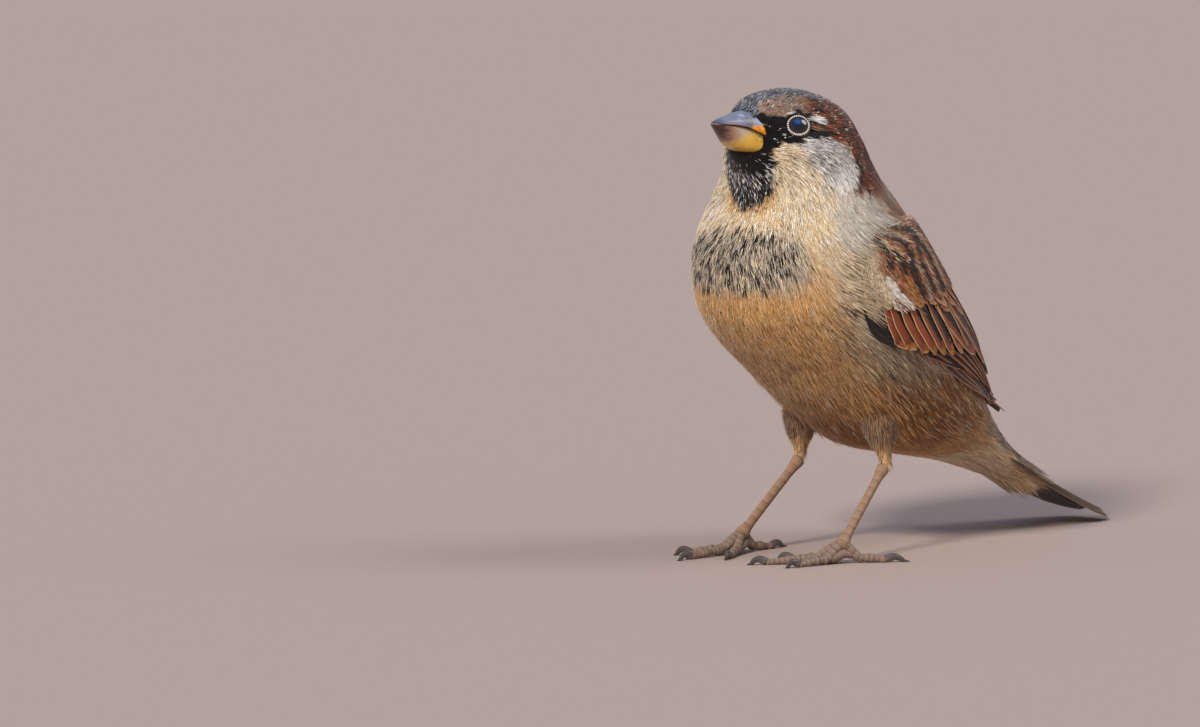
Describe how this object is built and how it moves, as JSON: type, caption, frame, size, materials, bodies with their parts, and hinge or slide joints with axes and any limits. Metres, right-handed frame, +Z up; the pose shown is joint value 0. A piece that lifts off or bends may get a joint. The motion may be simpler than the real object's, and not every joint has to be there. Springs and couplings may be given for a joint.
{
  "type": "house sparrow",
  "caption": "Life-size still model of a male house sparrow, standing upright and looking to one side, with its tail tip on the floor.",
  "frame": {"origin": "centre of the bounding box at floor level", "axes": "the bird faces -Y, its left side is +X and +Z is up"},
  "size_m": [0.044, 0.1124, 0.0883],
  "materials": {
    "crown_grey": "soft grey feathers",
    "cheek_white": "pale grey and cream feathers",
    "belly_fawn": "soft fawn feathers",
    "wing_chestnut": "chestnut, black and buff feathers",
    "tail_brown": "dark brown feathers with paler edges",
    "horn_grey": "smooth blue-grey horn",
    "horn_yellow": "smooth yellowish horn",
    "eye_dark": "wet, glossy, almost black",
    "scaly_skin": "horny scales",
    "claw_horn": "dark smooth horn"
  },
  "bodies": {
    "root": {"bill_lower": "horn_yellow", "bill_upper": "horn_grey", "claw_hind_left": "claw_horn", "claw_hind_right": "claw_horn", "claw_inner_left": "claw_horn", "claw_inner_right": "claw_horn", "claw_middle_left": "claw_horn", "claw_middle_right": "claw_horn", "claw_outer_left": "claw_horn", "claw_outer_right": "claw_horn", "eye_left": "eye_dark", "eye_right": "eye_dark", "head": "crown_grey", "neck": "cheek_white", "palm_left": "scaly_skin", "palm_right": "scaly_skin", "tail": "tail_brown", "tarsus_left": "scaly_skin", "tarsus_right": "scaly_skin", "thigh_left": "belly_fawn", "thigh_right": "belly_fawn", "toe_hind_left": "scaly_skin", "toe_hind_right": "scaly_skin", "toe_inner_left": "scaly_skin", "toe_inner_right": "scaly_skin", "toe_middle_left": "scaly_skin", "toe_middle_right": "scaly_skin", "toe_outer_left": "scaly_skin", "toe_outer_right": "scaly_skin", "trunk": "belly_fawn", "wing_left": "wing_chestnut", "wing_right": "wing_chestnut"}
  },
  "joints": []
}
